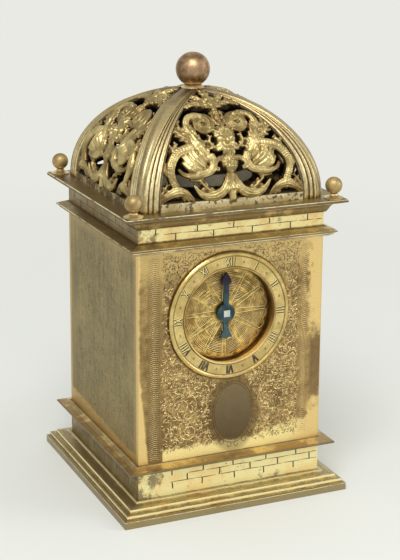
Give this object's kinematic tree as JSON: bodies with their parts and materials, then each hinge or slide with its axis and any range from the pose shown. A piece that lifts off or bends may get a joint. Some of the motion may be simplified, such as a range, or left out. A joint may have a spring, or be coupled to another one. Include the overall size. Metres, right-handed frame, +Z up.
{
  "type": "table clock",
  "caption": "Square gilt brass table clock with a pierced dome over the bell, a dial with a single hour hand, and posted going and striking trains behind a back door.",
  "frame": {"origin": "middle of the foot's underside", "axes": "the dial faces -Y, +X is to the viewer's right of the dial, +Z is up"},
  "size_m": [0.0856, 0.0856, 0.1563],
  "materials": {
    "case_gilding": "worn fire gilding on brass",
    "side_gilding": "dull, worn gilding on brass",
    "dial_gilding": "engraved, worn fire gilding",
    "ball_gilding": "matte, rubbed coppery gilding",
    "movement_brass": "brushed brass",
    "steel": "filed and stoned steel",
    "spring_steel": "tempered spring steel",
    "blued_steel": "heat-blued, slightly worn",
    "bell_metal": "dull turned bell metal",
    "gut": "twisted gut"
  },
  "bodies": {
    "case": {"base_moulding": "case_gilding", "base_plate": "side_gilding", "base_screws": "steel", "plinth_band": "case_gilding", "lower_flange": "case_gilding", "front_plate": "case_gilding", "left_plate": "side_gilding", "right_plate": "side_gilding", "hinge_pins": "steel", "corner_posts": "movement_brass", "lower_cornice": "case_gilding", "frieze_band": "case_gilding", "top_moulding": "case_gilding", "dome_rails": "case_gilding", "dome_ribs": "case_gilding", "grille_front": "case_gilding", "grille_left": "case_gilding", "grille_right": "case_gilding", "grille_back": "case_gilding", "crown_boss": "case_gilding", "crown_ball": "ball_gilding", "corner_balls": "ball_gilding", "ball_collars": "case_gilding", "chapter_ring": "dial_gilding", "dial_disc": "dial_gilding", "frame_bottom": "movement_brass", "frame_top": "movement_brass", "frame_pillars": "movement_brass", "front_bar": "movement_brass", "middle_bar": "movement_brass", "back_bar": "movement_brass", "barrel_arbors": "steel", "mainsprings": "spring_steel", "gut_line": "gut", "potence": "movement_brass", "balance_cock": "movement_brass", "bell": "bell_metal", "bell_stand": "steel"},
    "door": {"back_door": "side_gilding", "door_knob": "case_gilding"},
    "hand": {"hour_hand": "blued_steel", "hour_arbor": "steel"},
    "hour_wheel_body": {"hour_wheel": "movement_brass"},
    "intermediate_body": {"intermediate_wheel": "movement_brass"},
    "fusee_body": {"fusee": "movement_brass", "fusee_arbor": "steel", "great_wheel": "movement_brass"},
    "going_barrel_body": {"going_barrel": "movement_brass"},
    "second_body": {"second_wheel": "movement_brass"},
    "third_body": {"third_wheel": "movement_brass"},
    "crown_body": {"crown_wheel": "movement_brass"},
    "balance": {"verge": "steel", "balance_wheel": "movement_brass"},
    "strike_barrel_body": {"strike_barrel": "movement_brass"},
    "pin_wheel_body": {"pin_wheel": "movement_brass"},
    "hoop_body": {"hoop_wheel": "movement_brass"},
    "fly_body": {"fly": "movement_brass"},
    "count_wheel_body": {"count_wheel": "movement_brass"},
    "hammer_body": {"hammer": "steel"},
    "count_lever_body": {"count_lever": "steel"}
  },
  "joints": [
    {"name": "door_hinge", "type": "hinge", "parent": "case", "child": "door", "pos_m": [0.032, 0.036, 0.05], "axis": [0, 0, -1], "range_deg": [0, 110]},
    {"name": "hour_wheel_turn", "type": "hinge", "parent": "case", "child": "hour_wheel_body", "pos_m": [-0.0012, 0, 0.0693], "axis": [0, 1, 0], "continuous": true},
    {"name": "hand_setting", "type": "hinge", "parent": "hour_wheel_body", "child": "hand", "pos_m": [-0.0012, 0, 0.0693], "axis": [0, 1, 0], "continuous": true},
    {"name": "intermediate_turn", "type": "hinge", "parent": "case", "child": "intermediate_body", "pos_m": [0.0107, 0, 0.05079], "axis": [0, 1, 0], "continuous": true},
    {"name": "fusee_turn", "type": "hinge", "parent": "case", "child": "fusee_body", "pos_m": [0.013, 0, 0.038], "axis": [0, 1, 0], "continuous": true},
    {"name": "going_barrel_turn", "type": "hinge", "parent": "case", "child": "going_barrel_body", "pos_m": [-0.0145, 0, 0.038], "axis": [0, 1, 0], "continuous": true},
    {"name": "second_wheel_turn", "type": "hinge", "parent": "case", "child": "second_body", "pos_m": [0.0031, 0, 0.0512], "axis": [0, 1, 0], "continuous": true},
    {"name": "third_wheel_turn", "type": "hinge", "parent": "case", "child": "third_body", "pos_m": [-0.005, 0, 0.062], "axis": [0, 1, 0], "continuous": true},
    {"name": "crown_wheel_turn", "type": "hinge", "parent": "case", "child": "crown_body", "pos_m": [-0.01148, 0, 0.07064], "axis": [0, 1, 0], "continuous": true},
    {"name": "balance_swing", "type": "hinge", "parent": "case", "child": "balance", "pos_m": [-0.01148, -0.0106, 0.0904], "axis": [0, 0, 1], "range_deg": [-40, 40]},
    {"name": "strike_barrel_turn", "type": "hinge", "parent": "case", "child": "strike_barrel_body", "pos_m": [-0.014, 0, 0.03], "axis": [0, 1, 0], "continuous": true},
    {"name": "pin_wheel_turn", "type": "hinge", "parent": "case", "child": "pin_wheel_body", "pos_m": [-0.0041, 0, 0.0432], "axis": [0, 1, 0], "continuous": true},
    {"name": "hoop_wheel_turn", "type": "hinge", "parent": "case", "child": "hoop_body", "pos_m": [0.004, 0, 0.054], "axis": [0, 1, 0], "continuous": true},
    {"name": "fly_turn", "type": "hinge", "parent": "case", "child": "fly_body", "pos_m": [-0.00248, 0, 0.06264], "axis": [0, 1, 0], "continuous": true},
    {"name": "count_wheel_turn", "type": "hinge", "parent": "case", "child": "count_wheel_body", "pos_m": [-0.0041, 0, 0.0572], "axis": [0, 1, 0], "continuous": true},
    {"name": "hammer_lift", "type": "hinge", "parent": "case", "child": "hammer_body", "pos_m": [0.019, 0, 0.06], "axis": [0, -1, 0], "range_deg": [0, 14], "stiffness_Nm_per_rad": 0.002, "springref_deg": -8.59},
    {"name": "count_lever_lift", "type": "hinge", "parent": "case", "child": "count_lever_body", "pos_m": [0.014, 0, 0.066], "axis": [0, 1, 0], "range_deg": [0, 10]}
  ],
  "couplings": [
    {"joint": "hour_wheel_turn", "follows": "second_wheel_turn", "ratio": -0.025},
    {"joint": "intermediate_turn", "follows": "second_wheel_turn", "ratio": 0.03},
    {"joint": "fusee_turn", "follows": "second_wheel_turn", "ratio": -0.1},
    {"joint": "going_barrel_turn", "follows": "second_wheel_turn", "ratio": -0.0667},
    {"joint": "third_wheel_turn", "follows": "second_wheel_turn", "ratio": -9},
    {"joint": "crown_wheel_turn", "follows": "second_wheel_turn", "ratio": 72},
    {"joint": "strike_barrel_turn", "follows": "pin_wheel_turn", "ratio": -0.1},
    {"joint": "hoop_wheel_turn", "follows": "pin_wheel_turn", "ratio": -9},
    {"joint": "fly_turn", "follows": "pin_wheel_turn", "ratio": 72},
    {"joint": "count_wheel_turn", "follows": "pin_wheel_turn", "ratio": -0.16667}
  ]
}
